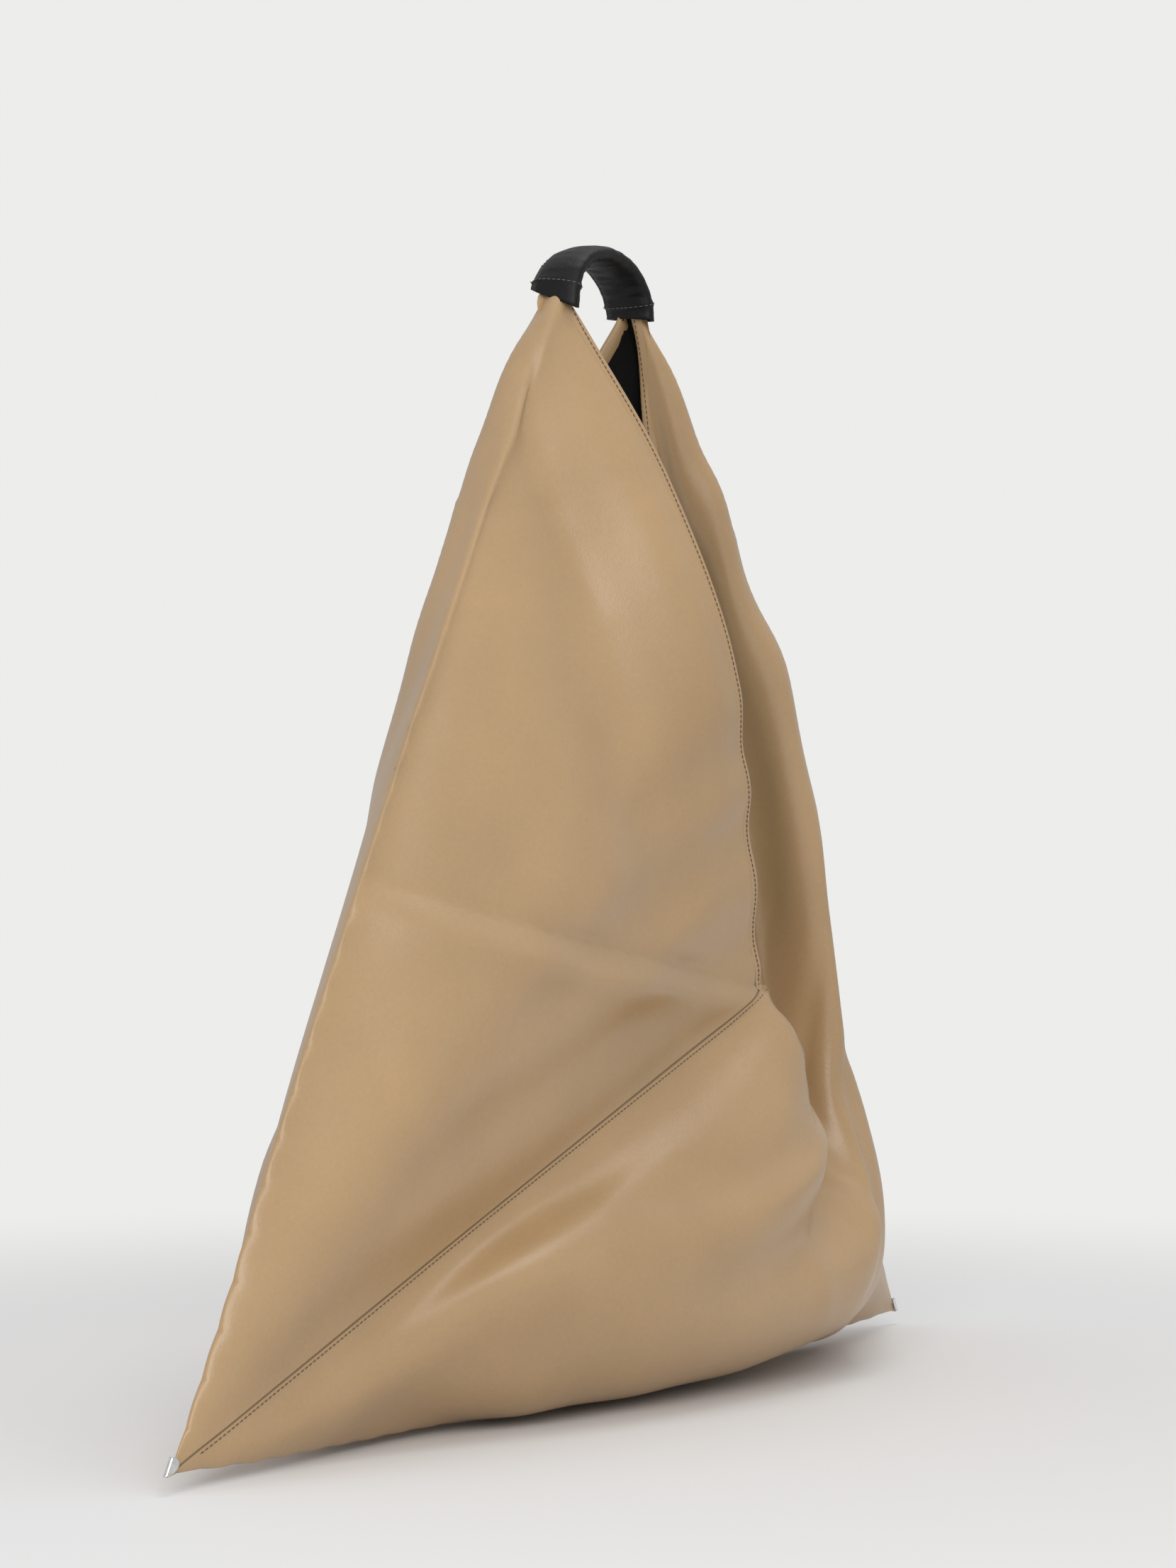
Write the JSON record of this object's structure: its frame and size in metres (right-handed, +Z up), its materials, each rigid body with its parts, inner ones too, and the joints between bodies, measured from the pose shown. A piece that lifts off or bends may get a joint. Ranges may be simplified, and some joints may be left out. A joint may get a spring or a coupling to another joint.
{
  "type": "trapeze bag",
  "caption": "Soft triangle tote folded from one leather strip, black lined, with metal corner caps and a short handle sleeve that joins its two horns.",
  "frame": {"origin": "middle of the bottom fold, under the handle", "axes": "+X along the bottom fold, from the left corner to the right corner as the front is seen; -Y is the front; +Z up towards the handle"},
  "size_m": [0.7664, 0.2566, 0.6581],
  "materials": {
    "shell": "smooth, semi-gloss",
    "sleeve": "smooth, satin, creased",
    "lining": "matt",
    "cap": "polished",
    "thread": "matt",
    "black_thread": "matt"
  },
  "bodies": {
    "handle": {"sleeve": "sleeve", "sleeve_thread_left": "black_thread", "sleeve_thread_right": "black_thread", "sleeve_edge_thread": "black_thread", "tip_left": "shell", "tip_right": "shell"},
    "bag": {"shell_front": "shell", "shell_back": "shell", "horn_left_front": "shell", "horn_left_back": "shell", "horn_right_front": "shell", "horn_right_back": "shell", "neck_left": "shell", "neck_right": "shell", "lining_front": "lining", "lining_back": "lining", "lining_horn_left": "lining", "lining_horn_right": "lining", "cap_left": "cap", "cap_right": "cap", "seam_thread_front": "thread", "seam_thread_back": "thread", "hem_thread_left_front": "thread", "hem_thread_left_back": "thread", "hem_thread_right_front": "thread", "hem_thread_right_back": "thread"}
  },
  "joints": [
    {"name": "bag_swing", "type": "hinge", "parent": "handle", "child": "bag", "pos_m": [0, 0, 0.61561], "axis": [1, 0, 0], "range_deg": [-60, 60], "deforming": ["neck_left", "neck_right"]}
  ]
}
